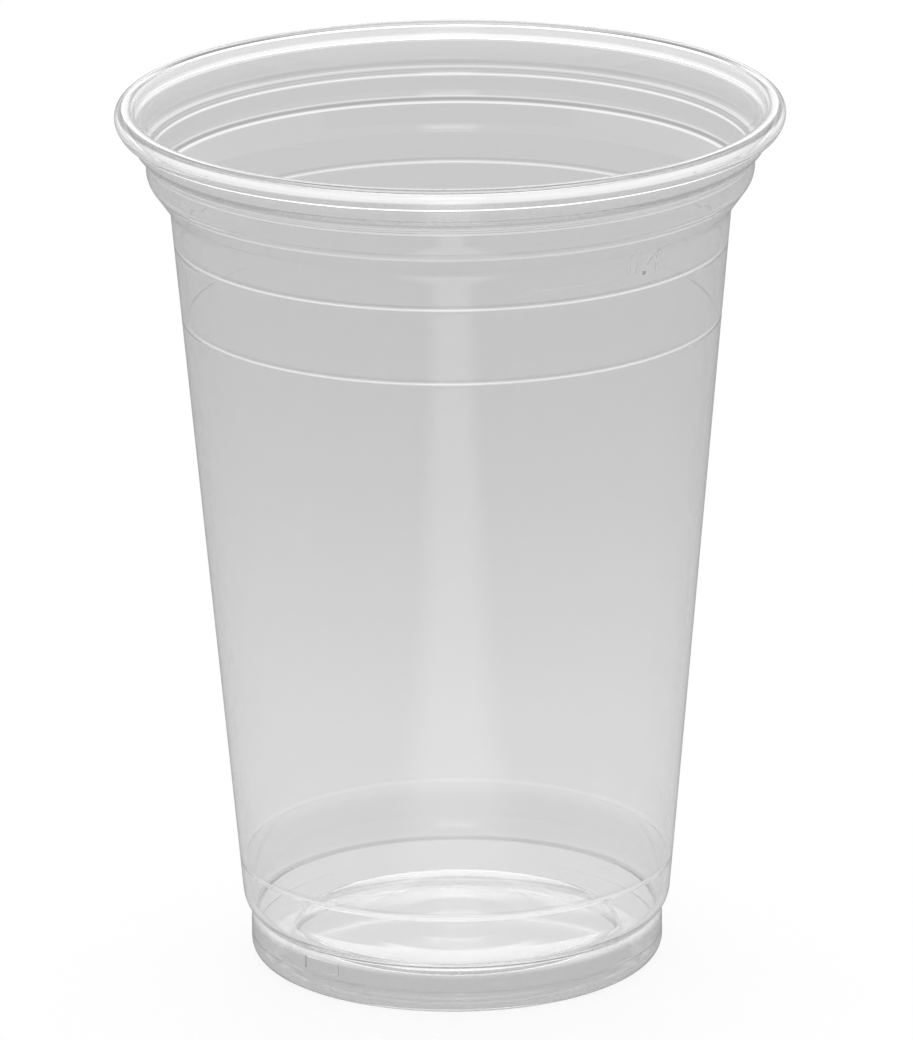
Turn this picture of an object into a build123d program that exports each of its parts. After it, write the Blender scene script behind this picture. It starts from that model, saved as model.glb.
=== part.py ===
from build123d import *
from math import atan, tan
import os

# A clear drinking cup, moulded as one thin-walled piece with a hollow, turned-down rim.
# Its frame: origin on the resting surface under the cup's axis, +Z up, millimetres.
# Radii and heights are measured on the outside face unless their name says otherwise.

# Thickness of the plastic, everywhere
wall = 0.8

# Whole cup
height = 127.0
rim_radius = 47.7

# Rim: over the top of the wall and down again as a short skirt, open underneath
rim_width = 2.8
rim_corner = 0.4
rim_outer_corner = 0.7
skirt_height = 2.8
skirt_lip_height = 1.0
skirt_taper = 0.6
skirt_lip_corner = 1.0
skirt_edge_corner = 0.3

# Ledge and collar under the rim, from the rim's top down
neck_height = 5.5
neck_taper = 0.8
ledge_height = 1.7
ledge_width = 1.6
ledge_corner = 0.9
collar_height = 2.9
collar_corner = 3.0
collar_taper_height = 4.6
collar_taper_width = 3.3

# Tapered body wall, from under the collar down to the shoulder line
wall_top_corner = 2.5
shoulder_height = 15.2
shoulder_radius = 31.35

# Fine grooves in the outside face: three round the body and one round the foot
groove_round = 0.5
groove_depth = 0.15
upper_line_drop = 4.9
line_spacing = 11.0
foot_line_height = 3.9

# Rounded bottom of the body, and the crease between it and the foot
body_corner = 4.0
crease_height = 7.1
crease_half_width = 1.3
crease_depth = 0.35
crease_corner = 0.3

# Foot ring
foot_radius = 29.75
foot_swell_corner = 2.0
foot_corner = 2.5
foot_width = 6.25
foot_inner_corner = 2.0

# Base panel, raised inside the foot ring and gently domed
panel_height = 3.6
panel_draft = 0.5
panel_dome = 0.5
panel_flat = 4.25
panel_corner = 0.5

# Small sunk plate on the foot's side
plate_height = 1.8
plate_gap = 0.4
plate_depth = 0.15
plate_angle = 12.0
plate_direction = -131.0

# Worked out from the sizes above
rim_underside = height - wall
skirt_radius = rim_radius - wall
neck_radius = rim_radius - rim_width + wall
ledge_radius = neck_radius - neck_taper
collar_radius = ledge_radius - ledge_width
wall_top_radius = collar_radius - collar_taper_width
skirt_bottom = height - skirt_height
ledge_top = height - neck_height
ledge_foot = ledge_top - ledge_height
collar_bottom = ledge_foot - collar_height
wall_top = collar_bottom - collar_taper_height
upper_line_height = wall_top - upper_line_drop
lower_line_height = upper_line_height - line_spacing
body_end = crease_height + crease_half_width
crease_radius = foot_radius - crease_depth
foot_swell_height = crease_height - crease_half_width
foot_inner_radius = foot_radius - foot_width
panel_radius = foot_inner_radius - panel_draft
dome_top = panel_height + panel_dome
dome_tilt = atan(panel_dome / (panel_radius / 2))
dome_round = (panel_radius / 2 - panel_flat) / tan(dome_tilt / 2)
plate_bottom = foot_line_height + plate_gap
wall_slope = (wall_top_radius - shoulder_radius) / (wall_top - shoulder_height)


def wall_radius(z):
    """Radius of the tapered wall at a height."""
    return shoulder_radius + wall_slope * (z - shoulder_height)


# Corners of the outside face, from the base panel out to the rim, and the round on each
corners = [
    ((panel_radius / 2, dome_top), dome_round),
    ((panel_radius, panel_height), panel_corner),
    ((foot_inner_radius, 0), foot_inner_corner),
    ((foot_radius, 0), foot_corner),
    ((foot_radius, foot_swell_height), foot_swell_corner),
    ((crease_radius, crease_height), crease_corner),
    ((wall_radius(body_end), body_end), body_corner),
    ((wall_top_radius, wall_top), wall_top_corner),
    ((collar_radius, collar_bottom), collar_corner),
    ((collar_radius, ledge_foot), ledge_corner),
    ((ledge_radius, ledge_top), ledge_corner),
    ((neck_radius, rim_underside), rim_corner),
    ((skirt_radius, rim_underside), rim_outer_corner),
    ((skirt_radius, skirt_bottom + skirt_lip_height), skirt_lip_corner),
]
panel_centre = (0, dome_top)
skirt_end = (skirt_radius - skirt_taper, skirt_bottom)

# Centres of the small rounds that cut the grooves
groove_reach = groove_round - groove_depth
body_grooves = [
    (wall_radius(z) + groove_reach, z)
    for z in (shoulder_height, lower_line_height, upper_line_height)
]
foot_groove = (foot_radius + groove_reach, foot_line_height)

with BuildPart() as cup:
    # The whole shell: its section between the outside face and the face the drink touches
    with BuildSketch(Plane.XZ) as section:
        with BuildLine():
            FilletPolyline(
                panel_centre,
                *[point for point, corner in corners],
                skirt_end,
                radius=[corner for point, corner in corners],
            )
            offset(amount=wall, side=Side.LEFT)
        make_face()
        skirt_edge = section.vertices().sort_by_distance(skirt_end)[:2]
        fillet(skirt_edge, radius=skirt_edge_corner)
        with Locations(foot_groove, *body_grooves):
            Circle(groove_round, mode=Mode.SUBTRACT)
    revolve(axis=Axis.Z)

    # The sunk plate, cut along the foot's side
    plate_start = Plane.XZ.rotated((0, 0, plate_direction - plate_angle / 2))
    with BuildSketch(plate_start):
        with Locations((foot_radius, plate_bottom)):
            Rectangle(2 * plate_depth, plate_height, align=(Align.CENTER, Align.MIN))
    revolve(axis=Axis.Z, revolution_arc=plate_angle, mode=Mode.SUBTRACT)

os.makedirs("parts", exist_ok=True)
cup.part.label = "cup"
export_step(cup.part, "parts/cup.step")
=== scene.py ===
"""A clear, reusable drinking cup: one thin shell of moulded plastic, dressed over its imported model.

The cup stands on the origin with its axis along +Z. Sizes are written in millimetres and each mesh is
brought to metres when it is finished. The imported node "cup" stays for collision, and the shell made here
stands for it, with the same section in finer detail.
"""

import logging
import math
from dataclasses import dataclass
from enum import Enum
from typing import Any, Optional, Union

import bmesh
import bpy
from mathutils import Matrix, Vector


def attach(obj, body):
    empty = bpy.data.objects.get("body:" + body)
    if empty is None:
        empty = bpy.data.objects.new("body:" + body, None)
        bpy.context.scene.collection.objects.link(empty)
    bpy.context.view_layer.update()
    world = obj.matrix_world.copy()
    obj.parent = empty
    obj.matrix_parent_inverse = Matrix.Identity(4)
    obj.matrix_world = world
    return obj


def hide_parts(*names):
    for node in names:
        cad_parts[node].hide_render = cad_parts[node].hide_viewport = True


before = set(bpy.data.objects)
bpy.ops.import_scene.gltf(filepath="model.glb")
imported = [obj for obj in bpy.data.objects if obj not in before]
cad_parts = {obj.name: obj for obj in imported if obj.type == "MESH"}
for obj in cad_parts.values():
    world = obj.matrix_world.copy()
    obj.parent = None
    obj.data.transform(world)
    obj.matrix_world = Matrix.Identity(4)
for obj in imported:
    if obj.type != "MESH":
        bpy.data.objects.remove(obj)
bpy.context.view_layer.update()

LOG = logging.getLogger("cup_scene")
MM = 0.001
AXIS = Vector((0.0, 0.0, 1.0))
BODY = "root"
NODE = "cup"
SHARP_ANGLE = 30.0
RIGHT_ANGLE = 90.0
MERGE_DISTANCE = 1e-4
SEEN_RAYS = ("Is Camera Ray", "Is Glossy Ray", "Is Transmission Ray")
# A ray crosses the shell's faces many times before it leaves the rim
BOUNCES = {"glossy_bounces": 16, "transmission_bounces": 24, "max_bounces": 32}
# Half the step between two whole numbers, which tells one count from the next
HALF_STEP = 0.5
Pair = tuple[float, float]
Colour = tuple[float, float, float, float]


class Order(Enum):
    """Which term of a Math node comes first."""

    FORWARD = 0
    REFLECTED = 1


class Signal:
    """A node socket that can be used in Python expressions."""

    def __init__(self, graph: "Graph", socket: bpy.types.NodeSocket) -> None:
        """Keeps the socket and the graph that new nodes go into."""
        self.graph = graph
        self.socket = socket

    def _math(self, operation: str, other: "Term", order: Order = Order.FORWARD) -> "Signal":
        """Adds one Math node.

        Args:
            operation: the Math node's operation.
            other: the second term.
            order: REFLECTED puts the second term first.

        Returns:
            The Math node's result.
        """
        terms = (self, other) if order is Order.FORWARD else (other, self)
        return self.graph.node("ShaderNodeMath", {"operation": operation}, dict(enumerate(terms)))

    def __add__(self, other: "Term") -> "Signal":
        """Adds a term."""
        return self._math("ADD", other)

    __radd__ = __add__

    def __mul__(self, other: "Term") -> "Signal":
        """Multiplies by a term."""
        return self._math("MULTIPLY", other)

    __rmul__ = __mul__

    def __sub__(self, other: "Term") -> "Signal":
        """Takes a term away."""
        return self._math("SUBTRACT", other)

    def __rsub__(self, other: "Term") -> "Signal":
        """Takes this from a term."""
        return self._math("SUBTRACT", other, Order.REFLECTED)

    def at_most(self, other: "Term") -> "Signal":
        """The smaller of this and a term."""
        return self._math("MINIMUM", other)

    def at_least(self, other: "Term") -> "Signal":
        """The larger of this and a term."""
        return self._math("MAXIMUM", other)

    def root(self) -> "Signal":
        """The square root."""
        return self._math("POWER", 0.5)

    def size(self) -> "Signal":
        """The value without its sign."""
        return self._math("ABSOLUTE", 0.0)

    def turn_from(self, across: "Signal") -> "Signal":
        """The angle in radians from the X axis, where this is the place along Y."""
        return self._math("ARCTAN2", across)

    def near(self, place: float, reach: float) -> "Signal":
        """Tells whether this is near a value.

        Args:
            place: the value.
            reach: how far off still counts.

        Returns:
            1 near the value, else 0.
        """
        return self.graph.node("ShaderNodeMath", {"operation": "COMPARE"}, {0: self, 1: place, 2: reach})

    def ramp(self, start: float, end: float) -> "Signal":
        """Climbs smoothly from 0 to 1 between two values.

        Args:
            start: the value that gives 0.
            end: the value that gives 1.

        Returns:
            The smooth climb, kept between 0 and 1.
        """
        inputs = {"Value": self, "From Min": start, "From Max": end}
        return self.graph.node("ShaderNodeMapRange", {"interpolation_type": "SMOOTHSTEP"}, inputs)


Term = Union[Signal, float]
Tone = Union[Signal, Colour]


def set_stops(ramp: bpy.types.ColorRamp, stops: tuple[Pair, ...]) -> None:
    """Gives a colour ramp its grey stops.

    Args:
        ramp: the ramp.
        stops: the place and the level of each stop, in rising order.
    """
    while len(ramp.elements) > 1:
        ramp.elements.remove(ramp.elements[-1])
    for number, (place, level) in enumerate(stops):
        stop = ramp.elements.new(place) if number else ramp.elements[0]
        stop.position = place
        stop.color = grey(level)


class Graph:
    """A node tree that is filled through one method."""

    def __init__(self, tree: bpy.types.NodeTree) -> None:
        """Empties the tree and keeps it."""
        tree.nodes.clear()
        self.tree = tree

    def node(
        self,
        kind: str,
        settings: Optional[dict[str, Any]] = None,
        inputs: Optional[dict[Union[str, int], Any]] = None,
        output: Union[str, int] = 0,
    ) -> Signal:
        """Adds a node, with its settings first and its sockets after.

        Args:
            kind: the node's type.
            settings: properties of the node.
            inputs: values or signals by socket name or number.
            output: the name or number of the output to return.

        Returns:
            The chosen output.
        """
        made = self.tree.nodes.new(kind)
        for name, value in (settings or {}).items():
            if name == "stops":
                set_stops(made.color_ramp, value)
            else:
                setattr(made, name, value)
        for key, value in (inputs or {}).items():
            if isinstance(value, Signal):
                self.tree.links.new(value.socket, made.inputs[key])
            else:
                made.inputs[key].default_value = value
        chosen = made.outputs[output] if made.outputs else made.inputs[0]
        return Signal(self, chosen)

    def mix_colour(self, share: Term, low: Tone, high: Tone) -> Signal:
        """Blends two colours.

        Args:
            share: 0 gives the first colour and 1 the second.
            low: the first colour.
            high: the second colour.

        Returns:
            The blended colour.
        """
        # The Mix node keeps its colour sockets at 6 and 7 and its colour result at 2
        return self.node("ShaderNodeMix", {"data_type": "RGBA"}, {0: share, 6: low, 7: high}, 2)

    def ray(self, *kinds: str) -> Signal:
        """Tells whether the ray that sees the surface is of one of some kinds.

        Args:
            *kinds: outputs of the Light Path node.

        Returns:
            1 for a ray of one of the kinds, else 0.
        """
        found = [self.node("ShaderNodeLightPath", output=kind) for kind in kinds]
        total = found[0]
        for other in found[1:]:
            total = total.at_least(other)
        return total


def grey(level: float) -> Colour:
    """An even grey."""
    return (level, level, level, 1.0)


def metres(ends: Pair) -> Pair:
    """Two millimetre values in metres."""
    return (ends[0] * MM, ends[1] * MM)


@dataclass(frozen=True)
class Place:
    """Where a point of the cup is: its height and its distance from the axis in metres, and its turn."""

    height: Signal
    radius: Signal
    turn: Signal


@dataclass(frozen=True)
class PaintedRingLine:
    """A fine line round the cup, in millimetres: a painted highlight where its level is high, painted shade
    where it is low.
    """

    height: float
    radius: float
    level: float
    reach: float = 0.16
    one_face: float = 0.38

    def mask(self, place: Place) -> Signal:
        """Finds the line: 1 on it, else 0."""
        at_height = place.height.near(self.height * MM, self.reach * MM)
        return at_height * place.radius.near(self.radius * MM, self.one_face * MM)


@dataclass(frozen=True)
class Region:
    """A part of the cup: a band painted lighter as a highlight, a band painted darker as shade, and also the
    base panel, where the ripple is stronger. Each bound is a soft climb or fall, in millimetres.
    """

    level: float = 1.0
    above: Optional[Pair] = None
    below: Optional[Pair] = None
    beyond: Optional[Pair] = None
    within: Optional[Pair] = None

    def mask(self, place: Place) -> Signal:
        """Finds the region.

        Args:
            place: where the point is.

        Returns:
            1 in the region, else 0, with soft bounds.
        """
        climbs = ((place.height, self.above), (place.radius, self.beyond))
        falls = ((place.height, self.below), (place.radius, self.within))
        shares = [signal.ramp(*metres(ends)) for signal, ends in climbs if ends]
        shares += [1.0 - signal.ramp(*metres(ends)) for signal, ends in falls if ends]
        return math.prod(shares[1:], start=shares[0])


Layer = Union[PaintedRingLine, Region]


@dataclass(frozen=True)
class ClearPlastic:
    """The cup's plastic: clear, a little grey, with a smooth moulded gloss. Millimetres and degrees."""

    name: str = "clear_plastic"
    lower_tint: float = 0.77
    upper_tint: float = 0.58
    tint_climb: Pair = (10.0, 110.0)
    # Painted highlights (levels near 1) and painted shade (low levels) in fine lines round the ledge,
    # collar, grooves and crease
    ledge_lines: tuple[PaintedRingLine, ...] = (
        PaintedRingLine(120.45, 43.9, 1.0, 0.20),
        PaintedRingLine(121.1, 44.55, 0.45, 0.20),
        PaintedRingLine(119.95, 42.7, 1.0, 0.18),
        PaintedRingLine(119.55, 43.2, 0.90, 0.14),
        PaintedRingLine(119.85, 43.4, 0.42, 0.13),
        PaintedRingLine(120.6, 43.25, 0.42),
    )
    collar_lines: tuple[PaintedRingLine, ...] = (
        PaintedRingLine(115.9, 41.65, 1.0, 0.18),
        PaintedRingLine(115.54, 42.3, 0.80, 0.13),
        PaintedRingLine(115.86, 42.45, 0.42, 0.13),
        PaintedRingLine(116.4, 41.95, 0.34),
        PaintedRingLine(116.36, 42.8, 0.88),
    )
    groove_lines: tuple[PaintedRingLine, ...] = (
        PaintedRingLine(107.55, 39.2, 0.86, one_face=1.0),
        PaintedRingLine(108.05, 39.2, 0.51, one_face=1.0),
        PaintedRingLine(96.55, 38.2, 0.86, one_face=1.0),
        PaintedRingLine(97.05, 38.2, 0.53, one_face=1.0),
        PaintedRingLine(15.3, 31.0, 0.90, one_face=1.0),
        PaintedRingLine(15.8, 31.0, 0.70, one_face=1.0),
    )
    crease_lines: tuple[PaintedRingLine, ...] = (
        PaintedRingLine(7.3, 29.0, 0.40, 0.20, 1.2),
        PaintedRingLine(6.6, 29.0, 0.90, 0.20, 1.2),
    )
    # Painted shade on the neck under the rim, lifted again at the throat, with a painted highlight line at
    # the throat
    neck: Region = Region(0.62, above=(121.5, 124.3))
    throat: Region = Region(0.77, above=(124.3, 124.5))
    throat_line: PaintedRingLine = PaintedRingLine(124.8, 44.7, 1.0, 0.45, 0.9)
    # Painted shade on the skirt's lower part, a painted highlight on its upper part and a painted highlight
    # line at its lower end
    skirt: Region = Region(0.62, above=(123.8, 124.0), beyond=(45.8, 46.0))
    skirt_side: Region = Region(0.98, above=(125.0, 125.3))
    skirt_end_line: PaintedRingLine = PaintedRingLine(124.1, 46.5, 1.0, 0.20, 1.2)
    # Painted shade on the rim's top, painted highlights at the lip and the crown, and a painted dark line at
    # the outer corner
    cap: Region = Region(0.32, above=(126.3, 126.5))
    lip: Region = Region(0.98, above=(126.3, 126.5), within=(45.2, 45.4))
    crown_line: PaintedRingLine = PaintedRingLine(127.0, 46.45, 0.98, 0.15, 0.20)
    corner_line: PaintedRingLine = PaintedRingLine(126.73, 47.03, 0.22, 0.17, 0.28)
    # Painted shade on the foot band, for the shadowed floor seen through it, and a painted dark line at the
    # foot's groove
    foot: Region = Region(0.56, below=(5.6, 6.4), beyond=(23.0, 23.6))
    foot_line: PaintedRingLine = PaintedRingLine(3.6, 29.6, 0.45, 0.18, 0.35)
    # Painted dark lines at the two edges of the sunk plate
    plate_edge_shade: PaintedRingLine = PaintedRingLine(5.2, 29.6, 0.34, 0.9, 0.35)
    plate_direction: float = -131.0
    plate_half: float = 6.0
    plate_edge_shade_half: float = 0.229
    # Walls behind the first are tinted nearly clear, with a darker band low down, a painted dark line at the
    # crease and a painted highlight at the shoulder
    behind_level: float = 0.96
    behind_band: Region = Region(0.87, above=(6.6, 8.5), below=(12.5, 15.5))
    behind_crease: PaintedRingLine = PaintedRingLine(7.1, 29.0, 0.62, 0.15, 1.2)
    behind_shoulder: PaintedRingLine = PaintedRingLine(15.5, 31.0, 1.0, 0.25, 1.2)
    refraction: float = 1.49
    roughness: float = 0.02
    haze: float = 0.02
    haze_scale: float = 60.0
    haze_detail: float = 0.0
    ripple_scale: float = 90.0
    ripple_detail: float = 0.5
    ripple_height: float = 0.07
    wall_ripple: float = 0.03
    panel: Region = Region(below=(5.6, 6.4), within=(23.0, 23.6))
    # A painted grey glow at a ray's fourteenth bounce stands in for the light caught in the plastic
    trapped_depth: float = 14.0
    trapped_light: float = 0.55

    def material(self) -> bpy.types.Material:
        """Builds the plastic as a refracting shell.

        Returns:
            The finished material.
        """
        made = bpy.data.materials.new(self.name)
        made.use_nodes = True
        made.cycles.emission_sampling = "NONE"
        graph = Graph(made.node_tree)
        point = graph.node("ShaderNodeTexCoord", output="Object")
        across, along, height = (
            graph.node("ShaderNodeSeparateXYZ", inputs={0: point}, output=axis) for axis in ("X", "Y", "Z")
        )
        place = Place(height, (across * across + along * along).root(), along.turn_from(across))
        haze = self.noise(graph, point, self.haze_scale, self.haze_detail)
        ripple = self.noise(graph, point, self.ripple_scale, self.ripple_detail)
        relief = ripple * self.panel.mask(place).at_least(self.wall_ripple)
        bump = graph.node("ShaderNodeBump", inputs={"Height": relief, "Distance": self.ripple_height * MM})
        # The plastic glows a painted grey at a ray's fourteenth bounce
        depth = graph.node("ShaderNodeLightPath", output="Ray Depth")
        trapped = depth.near(self.trapped_depth, HALF_STEP)
        surface = graph.node(
            "ShaderNodeBsdfPrincipled",
            inputs={
                "Base Color": self.tint(graph, place),
                "Roughness": self.roughness + haze * self.haze,
                "IOR": self.refraction,
                "Transmission Weight": 1.0,
                "Normal": bump,
                "Emission Color": graph.mix_colour(trapped, grey(0.0), grey(self.trapped_light)),
                "Emission Strength": 1.0,
            },
        )
        graph.node("ShaderNodeOutputMaterial", inputs={"Surface": surface})
        return made

    def noise(self, graph: Graph, point: Signal, scale: float, detail: float) -> Signal:
        """Adds a soft noise over the plastic.

        Args:
            graph: the material's graph.
            point: the point on the object.
            scale: how fine the noise is.
            detail: how many finer layers it has.

        Returns:
            The noise.
        """
        return graph.node("ShaderNodeTexNoise", inputs={"Vector": point, "Scale": scale, "Detail": detail})

    def paint(self, graph: Graph, tone: Tone, layers: tuple[Layer, ...], place: Place) -> Tone:
        """Lays painted highlights and painted shade over a tone, each over those before it.

        Args:
            graph: the material's graph.
            tone: the tone to start from.
            layers: the lines and regions, in order.
            place: where the point is.

        Returns:
            The painted tone.
        """
        for layer in layers:
            tone = graph.mix_colour(layer.mask(place), tone, grey(layer.level))
        return tone

    def tint(self, graph: Graph, place: Place) -> Signal:
        """Colours the plastic by how many of its walls the light has gone through, a grey that is lighter
        towards the bottom, and paints highlights and shade into it in lines and bands.

        Args:
            graph: the material's graph.
            place: where the point is.

        Returns:
            The colour: the first wall that is crossed is tinted, and those behind it are nearly clear.
        """
        climb = place.height.ramp(*metres(self.tint_climb))
        tint = graph.mix_colour(climb, grey(self.lower_tint), grey(self.upper_tint))
        # Painted highlights and painted shade: fine lines round the ledge, collar, grooves and crease, and
        # painted shade on the neck
        lines = self.ledge_lines + self.collar_lines + self.groove_lines + self.crease_lines
        tint = self.paint(graph, tint, lines + (self.neck, self.throat, self.throat_line), place)
        # The skirt: painted shade on its lower part, painted highlights above and at its end
        skirt = self.paint(graph, grey(self.skirt.level), (self.skirt_side, self.skirt_end_line), place)
        tint = graph.mix_colour(self.skirt.mask(place), tint, skirt)
        # Painted shade on the rim's top with painted highlights and a painted dark line, and painted shade
        # on the foot band
        rim = (self.cap, self.lip, self.crown_line, self.corner_line)
        tint = self.paint(graph, tint, rim + (self.foot, self.foot_line), place)
        # Painted dark lines at the sunk plate's two edges
        off = (place.turn - math.radians(self.plate_direction)).size()
        ends = off.near(math.radians(self.plate_half), math.radians(self.plate_edge_shade_half))
        tint = graph.mix_colour(ends * self.plate_edge_shade.mask(place), tint, grey(self.plate_edge_shade.level))
        # For walls behind the first: nearly clear, with a darker band, a painted dark line and a painted
        # highlight
        clear = (self.behind_band, self.behind_crease, self.behind_shoulder)
        clear = self.paint(graph, grey(self.behind_level), clear, place)
        depth = graph.node("ShaderNodeLightPath", output="Transmission Depth")
        return graph.mix_colour((depth - 1.0).at_least(0.0).at_most(1.0), tint, clear)


@dataclass
class CupShell:
    """The moulded shell. Radii and heights are of the outside face, in millimetres."""

    wall: float = 0.8
    height: float = 127.0
    rim_radius: float = 47.7
    neck_radius: float = 45.7
    rim_corner: float = 0.4
    rim_outer_corner: float = 0.7
    skirt_taper: float = 0.6
    skirt_turn: float = 125.2
    skirt_turn_corner: float = 1.0
    skirt_bottom: float = 124.2
    skirt_edge_corner: float = 0.3
    skirt_edge_cuts: int = 5
    skirt_edge_turn: float = 60.0
    ledge_radius: float = 44.9
    ledge_top: float = 121.5
    ledge_foot: float = 119.8
    ledge_corner: float = 0.9
    collar_radius: float = 43.3
    collar_bottom: float = 116.9
    collar_corner: float = 3.0
    wall_top: float = 112.3
    wall_top_radius: float = 40.0
    wall_top_corner: float = 2.5
    shoulder_height: float = 15.2
    shoulder_radius: float = 31.35
    upper_line: float = 107.4
    lower_line: float = 96.4
    foot_line: float = 3.9
    groove_round: float = 1.11
    groove_depth: float = 0.06
    groove_cuts: int = 3
    groove_guard: float = 0.05
    body_end: float = 8.4
    body_corner: float = 4.0
    crease_height: float = 7.1
    crease_radius: float = 29.4
    crease_corner: float = 0.3
    foot_radius: float = 29.75
    foot_swell_height: float = 5.8
    foot_swell_corner: float = 2.0
    foot_corner: float = 2.5
    foot_inner_radius: float = 23.5
    foot_inner_corner: float = 2.0
    panel_radius: float = 23.0
    panel_height: float = 3.6
    panel_dome: float = 0.5
    panel_dome_round: float = 333.6
    panel_corner: float = 0.5
    plate_bottom: float = 4.3
    plate_top: float = 6.1
    plate_depth: float = 0.12
    plate_edge: float = 0.08
    plate_angle: float = 12.0
    plate_direction: float = -131.0
    turn_steps: int = 360
    corner_angle: float = 12.0
    corner_cuts: int = 3
    support: float = 0.25
    long_run: float = 1.0

    def wall_radius(self, z: float) -> float:
        """Radius of the tapered wall at a height."""
        slope = (self.wall_top_radius - self.shoulder_radius) / (self.wall_top - self.shoulder_height)
        return self.shoulder_radius + slope * (z - self.shoulder_height)

    def outer_radius(self, z: float) -> float:
        """Radius of the outer face from the wall up to the collar."""
        climb = (self.collar_radius - self.wall_top_radius) / (self.collar_bottom - self.wall_top)
        return max(self.wall_radius(z), self.wall_top_radius + climb * (z - self.wall_top))

    def corners(self) -> list[tuple[float, float, float]]:
        """Corners of the outside face from the base panel out to the skirt.

        Returns:
            The radius, the height and the round of each corner. A round of 0 marks an open end.
        """
        dome_top = self.panel_height + self.panel_dome
        underside = self.height - self.wall
        skirt = self.rim_radius - self.wall
        return [
            (0.0, dome_top, 0.0),
            (self.panel_radius / 2, dome_top, self.panel_dome_round),
            (self.panel_radius, self.panel_height, self.panel_corner),
            (self.foot_inner_radius, 0.0, self.foot_inner_corner),
            (self.foot_radius, 0.0, self.foot_corner),
            (self.foot_radius, self.foot_swell_height, self.foot_swell_corner),
            (self.crease_radius, self.crease_height, self.crease_corner),
            (self.wall_radius(self.body_end), self.body_end, self.body_corner),
            (self.wall_top_radius, self.wall_top, self.wall_top_corner),
            (self.collar_radius, self.collar_bottom, self.collar_corner),
            (self.collar_radius, self.ledge_foot, self.ledge_corner),
            (self.ledge_radius, self.ledge_top, self.ledge_corner),
            (self.neck_radius, underside, self.rim_corner),
            (skirt, underside, self.rim_outer_corner),
            (skirt, self.skirt_turn, self.skirt_turn_corner),
            (skirt - self.skirt_taper, self.skirt_bottom, 0.0),
        ]

    def section(self, mesh: bmesh.types.BMesh) -> None:
        """Draws the outside face's line in the XZ plane and rounds its corners.

        Args:
            mesh: an empty bmesh that takes the line.
        """
        corners = self.corners()
        points = [Vector((radius, 0.0, z)) for radius, z, _ in corners]
        verts = [mesh.verts.new(point) for point in points]
        for one, other in zip(verts, verts[1:]):
            mesh.edges.new((one, other))
        places = zip(verts[1:], points, points[1:], points[2:], corners[1:])
        for vert, before, here, after, (_, _, rounding) in places:
            turn = (here - before).angle(after - here)
            bmesh.ops.bevel(
                mesh,
                geom=[vert],
                offset=rounding * math.tan(turn / 2),
                offset_type="OFFSET",
                segments=max(self.corner_cuts, math.ceil(math.degrees(turn) / self.corner_angle)),
                profile=0.5,
                affect="VERTICES",
                material=-1,
            )

    def guard(self, mesh: bmesh.types.BMesh) -> None:
        """Cuts each long straight run close to its ends, so that the shading turns only in the rounds.

        Args:
            mesh: the rounded section.
        """
        long_runs = [edge for edge in mesh.edges if edge.calc_length() > self.long_run]
        for run in long_runs:
            start, end = (vert.co.copy() for vert in run.verts)
            along = (end - start).normalized()
            for place in (start + along * self.support, end - along * self.support):
                cut = [edge for edge in mesh.edges if is_on(edge, place)]
                bmesh.ops.bisect_plane(mesh, geom=cut + vertices(cut), plane_co=place, plane_no=along)

    def groove(self, mesh: bmesh.types.BMesh, height: float) -> None:
        """Sinks a fine round groove into the outer face.

        Args:
            mesh: the closed shell.
            height: the groove's middle.
        """
        reach = self.groove_round - self.groove_depth
        half = math.sqrt(self.groove_round**2 - reach**2)
        steps = range(-self.groove_cuts, self.groove_cuts + 1)
        rises = [half * math.sin(math.pi / 2 * step / self.groove_cuts) for step in steps]
        guards = [-half - self.groove_guard, half + self.groove_guard]
        for loop, rise in zip(self.cut_outer(mesh, [height + rise for rise in rises + guards]), rises):
            radius = loop[0].co.xy.length
            share = 1.0 - (math.sqrt(self.groove_round**2 - rise**2) - reach) / radius
            bmesh.ops.scale(mesh, vec=(share, share, 1.0), verts=loop)

    def cut_outer(self, mesh: bmesh.types.BMesh, heights: list[float]) -> list[list[bmesh.types.BMVert]]:
        """Cuts loops into the outer face only.

        Args:
            mesh: the closed shell.
            heights: where the loops go.

        Returns:
            The vertices of each loop.
        """
        band = [face for face in mesh.faces if self.is_outer(face, min(heights), max(heights))]
        geometry = band + edges(band) + vertices(band)
        loops = []
        for height in heights:
            cut = bmesh.ops.bisect_plane(
                mesh, geom=geometry, plane_co=(0.0, 0.0, height), plane_no=AXIS, dist=MERGE_DISTANCE
            )
            geometry = cut["geom"]
            loops.append([part for part in cut["geom_cut"] if isinstance(part, bmesh.types.BMVert)])
        return loops

    def is_outer(self, face: bmesh.types.BMFace, low: float, high: float) -> bool:
        """Tells whether a face looks outwards and reaches into a range of heights.

        Args:
            face: the face.
            low: the range's lower end.
            high: the range's upper end.

        Returns:
            True for such a face.
        """
        heights = [vert.co.z for vert in face.verts]
        looks_out = face.normal.xy.dot(face.verts[0].co.xy) > 0.0
        is_side = max(vert.co.xy.length for vert in face.verts) > self.foot_radius - self.wall
        return looks_out and is_side and min(heights) < high and max(heights) > low

    def plate(self, mesh: bmesh.types.BMesh) -> None:
        """Sinks the small plate into the foot's side.

        Args:
            mesh: the closed shell.
        """
        self.cut_outer(mesh, [self.plate_bottom, self.plate_top])
        facing = Matrix.Rotation(math.radians(self.plate_direction), 4, "Z") @ Vector((1.0, 0.0, 0.0))
        chosen = []
        for face in mesh.faces:
            middle = face.calc_center_median()
            turned = math.degrees(Vector((middle.x, middle.y, 0.0)).angle(facing, math.pi))
            is_side = middle.xy.length > self.foot_radius - self.wall / 2
            if is_side and self.plate_bottom < middle.z < self.plate_top and turned < self.plate_angle / 2:
                chosen.append(face)
        bmesh.ops.inset_region(
            mesh, faces=chosen, thickness=self.plate_edge, depth=-self.plate_depth, use_even_offset=True
        )

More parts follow.
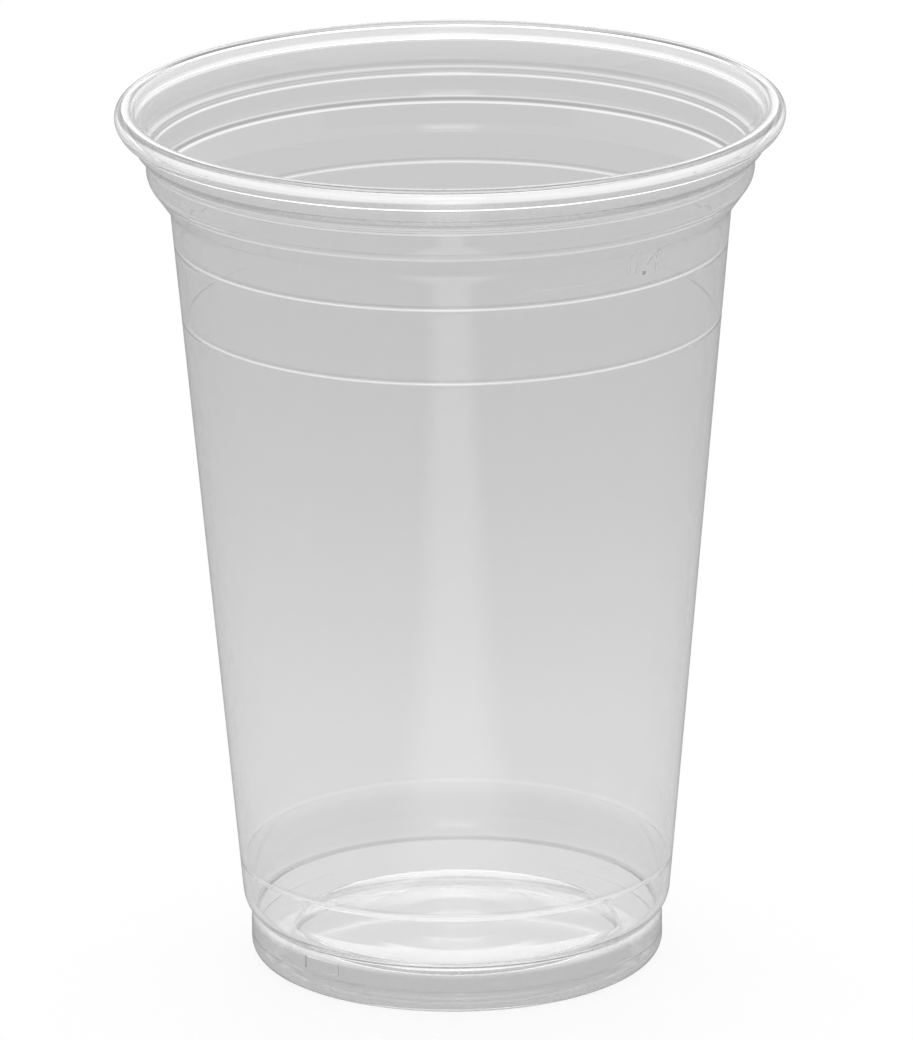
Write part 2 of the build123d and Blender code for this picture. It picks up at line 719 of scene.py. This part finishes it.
    def is_skirt_edge(self, edge: bmesh.types.BMEdge) -> bool:
        """Tells whether an edge goes round the skirt's lower end.

        Args:
            edge: the edge.

        Returns:
            True for such an edge.
        """
        low, high = self.skirt_bottom - self.wall, self.skirt_bottom + self.wall / 2
        is_low = all(low < vert.co.z < high for vert in edge.verts)
        is_wide = all(vert.co.xy.length > self.neck_radius for vert in edge.verts)
        is_sharp = edge.is_manifold and edge.calc_face_angle(0.0) > math.radians(self.skirt_edge_turn)
        return is_low and is_wide and is_sharp

    def build(self) -> bpy.types.Object:
        """Turns the section round the axis, gives it its thickness and cuts the fine marks.

        Returns:
            The finished shell, in metres.
        """
        mesh = bmesh.new()
        self.section(mesh)
        self.guard(mesh)
        bmesh.ops.spin(
            mesh,
            geom=mesh.verts[:] + mesh.edges[:],
            cent=(0.0, 0.0, 0.0),
            axis=AXIS,
            angle=math.tau,
            steps=self.turn_steps,
            use_merge=True,
            use_duplicate=False,
        )
        bmesh.ops.remove_doubles(mesh, verts=mesh.verts, dist=MERGE_DISTANCE)
        bmesh.ops.recalc_face_normals(mesh, faces=mesh.faces)
        bmesh.ops.solidify(mesh, geom=mesh.faces[:], thickness=-self.wall)
        bmesh.ops.recalc_face_normals(mesh, faces=mesh.faces)
        skirt_edges = [edge for edge in mesh.edges if self.is_skirt_edge(edge)]
        bmesh.ops.bevel(
            mesh,
            geom=skirt_edges,
            offset=self.skirt_edge_corner,
            offset_type="OFFSET",
            segments=self.skirt_edge_cuts,
            profile=0.5,
            affect="EDGES",
            material=-1,
        )
        for height in (self.foot_line, self.shoulder_height, self.lower_line, self.upper_line):
            self.groove(mesh, height)
        self.plate(mesh)
        LOG.info("shell: %d vertices, %d faces", len(mesh.verts), len(mesh.faces))
        return finish(mesh, "cup_shell")


@dataclass(frozen=True)
class CapacityMark:
    """A thin level tick and plain digits, raised a little from the wall. Millimetres and degrees.

    The glyph share is the digits' height as a share of the font's size.
    """

    digits: str = "0.4"
    digits_height: float = 3.9
    digits_foot: float = 109.7
    digits_turn: float = 42.5
    level: float = 109.8
    tick_start: float = 13.6
    tick_end: float = 35.5
    tick_width: float = 0.25
    relief: float = 0.10
    root: float = 0.2
    glyph_share: float = 0.69
    glyph_cuts: int = 6
    tick_cuts: int = 16
    tick_side: float = 5.0

    def put(self, shell: bpy.types.Object, cup: CupShell) -> None:
        """Raises the mark from the shell's outer face.

        Args:
            shell: the finished shell, in metres.
            cup: the shell's sizes.
        """
        mesh = bmesh.new()
        self.add_digits(mesh)
        self.add_tick(mesh, cup.wall_top_radius)
        for vert in mesh.verts:
            height = self.digits_foot + vert.co.y
            radius = cup.outer_radius(height) + vert.co.z
            angle = math.radians(self.digits_turn - RIGHT_ANGLE) + vert.co.x / cup.wall_top_radius
            vert.co = Vector((radius * math.cos(angle), radius * math.sin(angle), height))
        bmesh.ops.recalc_face_normals(mesh, faces=mesh.faces)
        mark = finish(mesh, "capacity_mark")
        union = shell.modifiers.new("mark", "BOOLEAN")
        union.operation = "UNION"
        union.solver = "MANIFOLD"
        union.object = mark
        depsgraph = bpy.context.evaluated_depsgraph_get()
        joined = bpy.data.meshes.new_from_object(shell.evaluated_get(depsgraph))
        smooth(joined)
        shell.modifiers.clear()
        shell.data = joined
        bpy.data.objects.remove(mark)
        LOG.info("shell with its mark: %d vertices", len(joined.vertices))

    def add_digits(self, mesh: bmesh.types.BMesh) -> None:
        """Draws the digits flat, with their foot at y = 0.

        Args:
            mesh: the bmesh that takes them.
        """
        curve = bpy.data.curves.new("digits", "FONT")
        curve.body = self.digits
        curve.align_x = "CENTER"
        curve.size = self.digits_height / self.glyph_share
        curve.extrude = (self.relief + self.root) / 2
        curve.resolution_u = self.glyph_cuts
        holder = bpy.data.objects.new("digits", curve)
        bpy.context.scene.collection.objects.link(holder)
        flat = bpy.data.meshes.new_from_object(holder)
        bpy.data.objects.remove(holder)
        mesh.from_mesh(flat)
        bmesh.ops.remove_doubles(mesh, verts=mesh.verts, dist=MERGE_DISTANCE)
        bmesh.ops.translate(mesh, vec=(0.0, 0.0, (self.relief - self.root) / 2), verts=mesh.verts)

    def add_tick(self, mesh: bmesh.types.BMesh, radius: float) -> None:
        """Draws the level tick flat, in short lengths that can follow the wall.

        Args:
            mesh: the bmesh that takes it.
            radius: the wall's radius where the mark goes.
        """
        turns = (self.tick_start, self.tick_end)
        start, end = (math.radians(turn - self.digits_turn) * radius for turn in turns)
        bar = bmesh.ops.create_cube(mesh, size=1.0)["verts"]
        bmesh.ops.scale(mesh, vec=(end - start, self.tick_width, self.relief + self.root), verts=bar)
        place = ((start + end) / 2, self.level - self.digits_foot, (self.relief - self.root) / 2)
        bmesh.ops.translate(mesh, vec=place, verts=bar)
        sides = [edge for edge in mesh.edges if all(vert in bar for vert in edge.verts)]
        long_sides = [edge for edge in sides if edge.calc_length() > self.tick_side]
        bmesh.ops.subdivide_edges(mesh, edges=long_sides, cuts=self.tick_cuts, use_grid_fill=True)


def vertices(parts: list[Union[bmesh.types.BMEdge, bmesh.types.BMFace]]) -> list[bmesh.types.BMVert]:
    """The vertices of some edges or faces, each once."""
    return list(dict.fromkeys(vert for part in parts for vert in part.verts))


def edges(faces: list[bmesh.types.BMFace]) -> list[bmesh.types.BMEdge]:
    """The edges of some faces, each once."""
    return list(dict.fromkeys(edge for face in faces for edge in face.edges))


def is_on(edge: bmesh.types.BMEdge, place: Vector) -> bool:
    """Tells whether a place is on an edge."""
    one, other = edge.verts
    return abs((one.co - place).length + (other.co - place).length - edge.calc_length()) < MERGE_DISTANCE


def smooth(data: bpy.types.Mesh) -> None:
    """Shades a mesh smoothly, with its sharp corners kept."""
    data.shade_smooth()
    data.set_sharp_from_angle(angle=math.radians(SHARP_ANGLE))


def finish(mesh: bmesh.types.BMesh, name: str) -> bpy.types.Object:
    """Brings a mesh from millimetres to metres and makes it an object.

    Args:
        mesh: the bmesh, which is freed.
        name: the new object's name.

    Returns:
        The new object, at the origin.
    """
    bmesh.ops.scale(mesh, vec=(MM, MM, MM), verts=mesh.verts)
    data = bpy.data.meshes.new(name)
    mesh.to_mesh(data)
    mesh.free()
    smooth(data)
    made = bpy.data.objects.new(name, data)
    bpy.context.scene.collection.objects.link(made)
    return made


@dataclass(frozen=True)
class Studio:
    """A pale floor, a soft lamp and a bright ground, in metres."""

    floor_reach: float = 6.0
    floor_sides: int = 96
    floor_drop: float = 0.00005
    floor_colour: Colour = (0.90, 0.90, 0.90, 1.0)
    floor_own_light: float = 0.85
    ground_light: float = 1.04
    mirrored_ground: float = 0.25
    card_light: float = 1.5
    card_sides: Pair = (0.015, 0.050)
    card_near: Pair = (-0.10, -0.05)
    mirrored: tuple[Pair, ...] = (
        (0.0, 0.36), (0.19, 0.36), (0.21, 0.76), (0.285, 0.76), (0.325, 0.40),
        (0.370, 0.40), (0.385, 0.90), (0.62, 0.90), (0.75, 0.25), (1.0, 0.22),
    )
    side_level: float = 0.36
    side_ends: Pair = (0.10, 0.24)
    mirrored_level: float = 2.8
    fill_light: float = 0.75
    lamp_place: tuple[float, float, float] = (0.0, 0.25, 1.5)
    lamp_size: Pair = (1.2, 0.9)
    lamp_power: float = 8.0
    lamp_aim: tuple[float, float, float] = (0.0, 0.0, 0.06)

    def floor(self) -> None:
        """Lays the floor and gives it its material."""
        mesh = bmesh.new()
        bmesh.ops.create_circle(mesh, cap_ends=True, segments=self.floor_sides, radius=self.floor_reach / MM)
        bmesh.ops.translate(mesh, vec=(0.0, 0.0, -self.floor_drop / MM), verts=mesh.verts)
        made = finish(mesh, "floor")
        material = bpy.data.materials.new("floor")
        material.use_nodes = True
        material.cycles.emission_sampling = "NONE"
        graph = Graph(material.node_tree)
        matt = graph.node("ShaderNodeBsdfDiffuse", inputs={"Color": self.floor_colour})
        place = graph.node("ShaderNodeTexCoord", output="Object")
        across = graph.node("ShaderNodeSeparateXYZ", inputs={0: place}, output="X").size()
        along = graph.node("ShaderNodeSeparateXYZ", inputs={0: place}, output="Y")
        # A bright strip of floor in front of the cup, which only its faces mirror
        card = (1.0 - across.ramp(*self.card_sides)) * (1.0 - along.ramp(*self.card_near))
        mirrored = card * self.card_light + (self.mirrored_ground - self.ground_light)
        light = mirrored * graph.ray("Is Reflection Ray") + self.ground_light
        glow = graph.node("ShaderNodeEmission", inputs={"Color": light})
        share = graph.ray(*SEEN_RAYS) * self.floor_own_light
        graph.node(
            "ShaderNodeOutputMaterial",
            inputs={"Surface": graph.node("ShaderNodeMixShader", inputs={0: share, 1: matt, 2: glow})},
        )
        made.data.materials.append(material)

    def sky(self) -> None:
        """Makes the ground white to the camera, and bands of grey for what the plastic mirrors."""
        world = bpy.data.worlds.new("studio")
        world.use_nodes = True
        world.cycles.sampling_method = "NONE"
        bpy.context.scene.world = world
        graph = Graph(world.node_tree)
        direction = graph.node("ShaderNodeTexCoord", output="Generated")
        height = graph.node("ShaderNodeSeparateXYZ", inputs={0: direction}, output="Z")
        across = graph.node("ShaderNodeSeparateXYZ", inputs={0: direction}, output="X")
        side = across.size().ramp(*self.side_ends)
        bands = graph.node("ShaderNodeValToRGB", {"stops": self.mirrored}, {0: height})
        mirrored = (bands * (1.0 - side) + bands.at_most(self.side_level) * side) * self.mirrored_level
        seen = graph.mix_colour(graph.ray("Is Camera Ray"), mirrored, grey(1.0))
        strength = graph.ray(*SEEN_RAYS).at_least(self.fill_light)
        light = graph.node("ShaderNodeBackground", inputs={"Color": seen, "Strength": strength})
        graph.node("ShaderNodeOutputWorld", inputs={"Surface": light})

    def lamp(self) -> None:
        """Hangs a soft rectangular lamp over the cup and points it there."""
        data = bpy.data.lights.new("overhead", "AREA")
        data.shape = "RECTANGLE"
        data.size, data.size_y = self.lamp_size
        data.energy = self.lamp_power
        made = bpy.data.objects.new("overhead", data)
        made.location = self.lamp_place
        aim = Vector(self.lamp_aim) - Vector(self.lamp_place)
        made.rotation_euler = aim.to_track_quat("-Z", "Y").to_euler()
        made.visible_camera = False
        bpy.context.scene.collection.objects.link(made)

    def build(self) -> None:
        """Sets up the whole studio."""
        self.floor()
        self.sky()
        self.lamp()


@dataclass(frozen=True)
class Viewpoint:
    """The photograph's camera: a long lens, a little above the cup. Metres and degrees."""

    distance: float = 1.5522
    height: float = 0.5436
    pitch: float = 17.138
    yaw: float = 0.0157
    roll: float = -0.491
    lens: float = 391.8
    sensor: float = 36.0
    view_reach: float = 50.0

    def build(self) -> None:
        """Creates the camera and makes it the scene's."""
        data = bpy.data.cameras.new("camera")
        data.lens = self.lens
        data.sensor_fit = "AUTO"
        data.sensor_width = self.sensor
        data.clip_end = self.view_reach
        made = bpy.data.objects.new("camera", data)
        made.matrix_world = (
            Matrix.Translation((0.0, -self.distance, self.height))
            @ Matrix.Rotation(math.radians(-self.yaw), 4, "Z")
            @ Matrix.Rotation(math.radians(RIGHT_ANGLE - self.pitch), 4, "X")
            @ Matrix.Rotation(math.radians(self.roll), 4, "Z")
        )
        bpy.context.scene.collection.objects.link(made)
        bpy.context.scene.camera = made


def main() -> None:
    """Builds the cup and its studio."""
    logging.basicConfig(level=logging.INFO, format="%(message)s")
    for name, limit in BOUNCES.items():
        setattr(bpy.context.scene.cycles, name, limit)
    bpy.context.scene.view_settings.view_transform = "Standard"
    Viewpoint().build()
    Studio().build()
    cup = CupShell()
    shell = cup.build()
    CapacityMark().put(shell, cup)
    shell.data.materials.clear()
    shell.data.materials.append(ClearPlastic().material())
    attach(shell, BODY)
    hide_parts(NODE)


if __name__ == "__main__":
    main()
